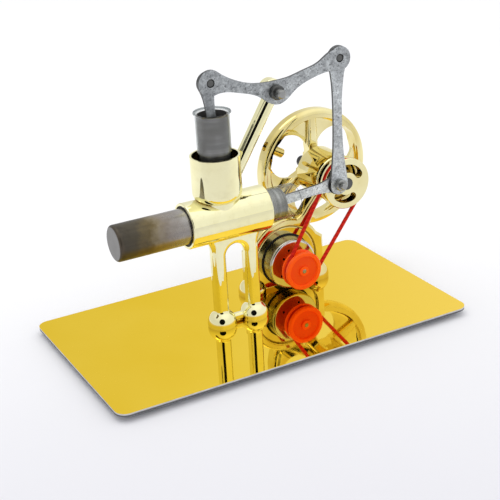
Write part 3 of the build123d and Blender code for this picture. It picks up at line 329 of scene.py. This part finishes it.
def hot_steel(g):
    """Steel tinted by heat: dark at the -X end, straw brown, then bare grey."""
    wander = g.remap(g.noise(scale=75, detail=5, rough=0.6), span=(0.25, 0.75),
                     to=(-0.0055, 0.0055))
    cooling = g.remap(g.add(g.xyz()["X"], wander), span=(HOT_END_X, COOL_END_X))
    color = g.ramp(cooling, [
        (0.0, (0.085, 0.069, 0.052)), (0.10, (0.066, 0.058, 0.046)),
        (0.28, (0.074, 0.064, 0.046)), (0.43, (0.130, 0.100, 0.050)),
        (0.52, (0.205, 0.170, 0.110)), (0.64, (0.235, 0.205, 0.175)),
        (0.82, (0.27, 0.25, 0.235)), (1.0, (0.34, 0.33, 0.32))])
    streak = g.grain("X", along=22, across=330, detail=4, rough=0.6)
    color = g.fade(streak, span=(0.35, 0.65), low=color,
                   high=g.tint(color, by=(1.45, 1.42, 1.35)), most=0.5)
    soot = g.noise(scale=210, detail=6, rough=0.7)
    color = g.fade(soot, span=(0.5, 0.75), low=color,
                   high=g.tint(color, by=(0.62, 0.58, 0.55)), most=0.55)
    # the flat face towards -X has a greyer oxide
    end = g.above(g.multiply(g.normal("X"), -1.0), limit=0.93)
    cap = g.ramp(soot, [(0.3, (0.19, 0.185, 0.180)), (0.7, (0.27, 0.265, 0.26))])
    rough = g.add(g.remap(cooling, span=(0.2, 0.7), to=(0.40, 0.26)),
                  g.remap(soot, span=(0.3, 0.7), to=(-0.03, 0.08)))
    lathe = g.grain("X", along=5200, across=20, detail=2)
    relief = g.add(lathe, g.multiply(soot, 0.8))  # soot stands 0.8 as high as the tool marks
    return g.bsdf(Base_Color=g.mix(end, color, cap), Metallic=0.9, Roughness=rough,
                  Normal=g.bump(relief, distance=0.000014, strength=0.6))


def glass(g, axis):
    """Clear tube; its silhouette and its cut ends, facing along axis, are painted darker, a
    painted shade that stands in for refraction.
    """
    dark = (0.30, 0.33, 0.33)
    smear = g.noise(scale=60, rough=0.6, vec=g.mapping(scale=(1, 3, 1)))
    # painted shade: darker towards the silhouette and on the faces along axis
    tint = g.mix(g.facing(power=2.1), (0.985, 0.99, 0.985), dark)
    tint = g.fade(g.math("ABSOLUTE", g.normal(axis)), span=(0.35, 0.8),
                  low=tint, high=dark, most=0.8)
    clear = g.node("BsdfTransparent", Color=tint)
    gloss = g.node("BsdfGlossy", Color=(1, 1, 1),
                   Roughness=g.remap(smear, span=(0.45, 0.7), to=(0.01, 0.05)))
    reflection = g.add(g.remap(g.facing(power=4.0), span=(0, 1), to=(0.035, 0.62)),
                       g.remap(smear, span=(0.5, 0.75), to=(0.0, 0.03)))
    return g.mix_shader(reflection, clear.outputs[0], gloss.outputs[0])


def motor_nickel(g):
    """Turned can; the face towards -Y is lighter and more polished."""
    cloud = g.noise(scale=130, detail=5, rough=0.6)
    face = g.above(g.multiply(g.normal("Y"), -1.0), limit=0.8)
    wall = g.ramp(cloud, [(0.3, (0.40, 0.395, 0.34)), (0.7, (0.50, 0.49, 0.43))])
    front = g.ramp(cloud, [(0.3, (0.62, 0.60, 0.575)), (0.7, (0.70, 0.685, 0.66))])
    rough = g.add(g.remap(cloud, span=(0.3, 0.7), to=(0.20, 0.27)), g.multiply(face, -0.14))
    lathe = g.grain("Y", along=6000, across=25, detail=2)
    return g.bsdf(Base_Color=g.mix(face, wall, front), Metallic=1.0, Roughness=rough,
                  Normal=g.bump(lathe, distance=0.000006, strength=0.5))


def belt_red(g):
    """Red belt with slanting, slightly uneven twist marks."""
    slope = math.radians(57.0)
    twist_rate = 2600  # radians per metre
    unevenness = 2.0   # radians of wander
    along = g.xyz(g.mapping(rot=(0, slope, 0)))
    phase = g.add(g.multiply(along["X"], twist_rate), g.multiply(along["Y"], twist_rate))
    phase = g.add(phase, g.multiply(g.noise(scale=300, detail=3), unevenness))
    strand = g.remap(g.math("SINE", phase), span=(-1, 1))
    dust = g.noise(scale=500)
    color = g.mix(strand, (0.52, 0.008, 0.002), (0.68, 0.018, 0.005))
    color = g.fade(dust, span=(0.55, 0.75), low=color, high=(0.58, 0.022, 0.010), most=0.25)
    return g.bsdf(Base_Color=color, Roughness=g.remap(dust, span=(0.3, 0.7), to=(0.42, 0.58)),
                  Normal=g.bump(strand, distance=0.00005, strength=0.35),
                  Specular_IOR_Level=0.15)


def pulley_orange(g):
    """Orange pulley with faint tool rings, painted shade in its recess and a faint painted glow.
    """
    ring_rate = 11000     # radians per metre of radius
    ring_height = 0.15    # against the grainy texture
    recess_shade_share = 0.62   # how far the painted shade darkens the recess
    at = g.xyz()
    across = g.math("SUBTRACT", at["X"], PULLEY_X)
    rise = g.math("SUBTRACT", at["Z"], PULLEY_Z)
    radius = g.math("SQRT", g.add(g.multiply(across, across), g.multiply(rise, rise)))
    rings = g.math("SINE", g.multiply(radius, ring_rate))
    texture = g.noise(scale=900)
    color = g.fade(g.noise(scale=90), span=(0.35, 0.65),
                   low=(0.96, 0.088, 0.003), high=(1.0, 0.118, 0.004))
    # painted shade: inside the recess radius, behind the rim, the orange is darkened
    recess_shade = g.multiply(g.below(radius, limit=PULLEY_RECESS_RADIUS),
                        g.above(at["Y"], limit=PULLEY_RECESS_Y))
    color = g.mix(g.multiply(recess_shade, recess_shade_share), color, (0.72, 0.040, 0.003))
    relief = g.add(g.multiply(rings, ring_height), texture)
    return g.bsdf(Base_Color=color, Specular_IOR_Level=0.25,
                  Roughness=g.remap(texture, span=(0.3, 0.7), to=(0.30, 0.42)),
                  Normal=g.bump(relief, distance=0.00002, strength=0.4),
                  # painted glow: a faint orange emission, though the pulley is no lamp
                  Emission_Color=(1.0, 0.07, 0.0), Emission_Strength=0.10)


# material: (function, its settings, the pieces that wear it)
MATERIALS = {
    "gold_plating": (gold_plating, {}, "engine_block"),
    # the next two are darker, warmer copies of the plating, painted to stand in for the darker
    # reflections on these pieces, with wider painted shade in their hollows
    "gold_disc_shaded": (gold_plating, dict(shade_depth=0.4), "crank_disc"),
    "gold_deep_shaded": (gold_plating, dict(shade_depth=0.85), "rear_frame flywheel flywheel_balance_peg"),
    "gold_mirror": (gold_mirror, {}, "gold_top_sheet"),
    "board_edge": (board_edge, {}, "base_board"),
    "foot_rubber": (rubber, dict(color=(0.018, 0.018, 0.02), rough=0.65), "rubber_feet"),
    "seal_black": (rubber, dict(color=(0.010, 0.010, 0.011), rough=0.55),
                   "hot_cylinder_seal hot_glass_seal cold_glass_seal motor_sleeve"),
    "cap_black": (rubber, dict(color=(0.014, 0.014, 0.015), rough=0.45),
                  "motor_end_cap shaft_end_cap crank_washer"),
    "bright_steel": (metal, dict(color=(0.36, 0.365, 0.35), rough=0.26), ""),
    "dark_steel": (metal, dict(color=(0.125, 0.127, 0.122), rough=0.34),
                   "beam_pivot_collar beam_pivot_washer crankshaft beam_left_pin beam_right_pin"),
    "terminal_brass": (metal, dict(color=(0.62, 0.46, 0.20), rough=0.25), "motor_terminals"),
    "magnet_dark": (metal, dict(color=(0.06, 0.06, 0.065), rough=0.5, turned=False),
                    "motor_magnets motor_rotor"),
    # the four zinc materials are lit copies of one sheet: their gains and the beam's fade are
    # painted light
    "zinc_beam": (zinc_steel, dict(gain=1.30, light_fade=0.10), "beam"),
    "zinc_link": (zinc_steel, dict(gain=1.65), "link_rod"),
    "zinc_con": (zinc_steel, dict(gain=1.9), "con_rod"),
    "zinc_cold": (zinc_steel, dict(gain=1.3), "cold_rod"),
    # the two piston greys are one metal; their gains are painted light
    "piston_grey": (piston, dict(axis="Z", gain=1.12), "cold_piston"),
    "piston_grey_x": (piston, dict(axis="X", gain=1.5), "hot_piston"),
    "heat_tinted_steel": (hot_steel, {}, "hot_cylinder hot_piston_crown"),
    "borosilicate_glass": (glass, dict(axis="X"), "hot_glass_tube"),
    "borosilicate_glass_z": (glass, dict(axis="Z"), "cold_glass_tube"),
    "motor_nickel": (motor_nickel, {}, "motor_can"),
    "belt_red": (belt_red, {}, "drive_belt"),
    "pulley_orange": (pulley_orange, {}, "motor_pulley"),
}
MATERIAL_OF = {piece: name for name, row in MATERIALS.items() for piece in row[2].split()}


@functools.cache
def shared_material(name):
    paint, settings, _ = MATERIALS[name]
    return make_material(name, paint, **settings)


# pieces without an entry, such as screws, bearings and pins, are bright steel
for piece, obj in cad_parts.items():
    material = shared_material(MATERIAL_OF.get(piece, "bright_steel"))
    obj.data.materials.clear()
    obj.data.materials.append(material)


# ------------------------------------------------------------------ stage
def link(name, data):
    obj = bpy.data.objects.new(name, data)
    scene.collection.objects.link(obj)
    return obj


def stage_mesh(name, paint, create, **sizes):
    bm = bmesh.new()
    create(bm, **sizes)
    mesh = bpy.data.meshes.new(name)
    bm.to_mesh(mesh)
    bm.free()
    mesh.materials.append(make_material(name, paint))
    return link(name, mesh)


def floor_paint(g):
    """Matt lilac grey, painted darker near the camera and near white away from it, a painted
    light fade.
    """
    at = g.xyz()
    depth = g.add(g.multiply(at["X"], VIEW_SIN), g.multiply(at["Y"], VIEW_COS))
    near = g.fade(g.noise(scale=3, detail=3), span=(0.3, 0.7),
                  low=(0.775, 0.77, 0.81), high=(0.795, 0.79, 0.83))
    # painted light fade: from lilac grey near the camera to near white away from it
    color = g.fade(depth, span=(-0.16, 0.10), low=near, high=(0.965, 0.965, 0.975))
    return g.bsdf(Base_Color=color, Roughness=0.75, Specular_IOR_Level=0.1)


def add_floor():
    floor = stage_mesh("studio_floor", floor_paint, bmesh.ops.create_grid,
                       x_segments=4, y_segments=4, size=4.0)
    floor.location = (0, 0, -0.0002)


# unit vector from the scene back to the camera
BACK = Vector((math.sin(AZIMUTH) * math.cos(ELEVATION),
               -math.cos(AZIMUTH) * math.cos(ELEVATION), math.sin(ELEVATION)))


def add_camera():
    level = Vector((math.cos(AZIMUTH), math.sin(AZIMUTH), 0))
    upright = BACK.cross(level)
    right = math.cos(ROLL) * level + math.sin(ROLL) * upright
    top = -math.sin(ROLL) * level + math.cos(ROLL) * upright
    lens = bpy.data.cameras.new("camera")
    lens.lens = 85.656
    lens.sensor_width = 36.0
    lens.clip_start = 0.01
    camera = link("camera", lens)
    pose = Matrix((right, top, BACK)).transposed().to_4x4()
    pose.translation = CAMERA_AT
    camera.matrix_world = pose
    scene.camera = camera
    return camera


def shade_paint(g):
    """Near black, but clear from inside and to rays that start on the mirror sheet."""
    margin = 0.0004  # height above the sheet that still counts as on it
    color = g.ramp(g.noise(scale=4, detail=2),
                   [(0.3, (0.004, 0.004, 0.0045)), (0.7, (0.008, 0.008, 0.009))])
    dark = g.bsdf(Base_Color=color, Roughness=0.9, Specular_IOR_Level=0.0)
    hit = g.node("NewGeometry").outputs
    travel = g.node("LightPath").outputs["Ray Length"]
    start_z = g.add(g.xyz(hit["Position"])["Z"],
                    g.multiply(g.xyz(hit["Incoming"])["Z"], travel))
    through = g.math("MAXIMUM", g.below(start_z, limit=SHEET_TOP + margin), hit["Backfacing"])
    return g.mix_shader(through, dark, g.node("BsdfTransparent").outputs[0])


def add_shade(camera):
    """Round shade behind the camera that gives the castings dark reflections."""
    shade = stage_mesh("dark_shade", shade_paint, bmesh.ops.create_uvsphere,
                       u_segments=48, v_segments=24, radius=SHADE_RADIUS)
    for polygon in shade.data.polygons:
        polygon.use_smooth = True
    shade.matrix_world = (Matrix.Translation(CAMERA_AT + BACK * SHADE_BEHIND)
                          @ camera.matrix_world.to_3x3().to_4x4()
                          @ Matrix.Diagonal((1, 1, SHADE_FLATTEN, 1)))
    shade.visible_camera = False
    shade.visible_diffuse = False
    shade.visible_shadow = False


def add_world():
    """White room, brighter overhead and to the camera's right."""
    world = bpy.data.worlds.new("studio_world")
    scene.world = world
    g = Graph(world, output="OutputWorld")
    look = g.xyz(g.coords["Generated"])
    sideways = g.add(g.multiply(look["X"], VIEW_COS), g.multiply(look["Y"], -VIEW_SIN))
    glow = g.add(g.remap(sideways, span=(-0.30, 0.30), to=(0.80, 0.97), smooth=True),
                 g.remap(look["Z"], span=(0.35, 0.95), to=(0.0, 0.24), smooth=True))
    room = g.node("Background", Color=(0.985, 0.99, 1.0), Strength=glow)
    g.surface(room.outputs[0])


def add_key():
    """Soft round light from above and behind."""
    key = bpy.data.lights.new("key_light", "AREA")
    key.shape = "DISK"
    key.size = 0.55
    key.energy = 1.1
    key.color = (1.0, 0.985, 0.96)
    lamp = link("key_light", key)
    lamp.location = KEY_AT
    lamp.rotation_euler = (KEY_AIM - KEY_AT).to_track_quat("-Z", "Y").to_euler()


add_floor()
add_shade(add_camera())
add_world()
add_key()

scene.view_settings.view_transform = "Standard"
scene.view_settings.look = "None"
scene.view_settings.exposure = 0.0
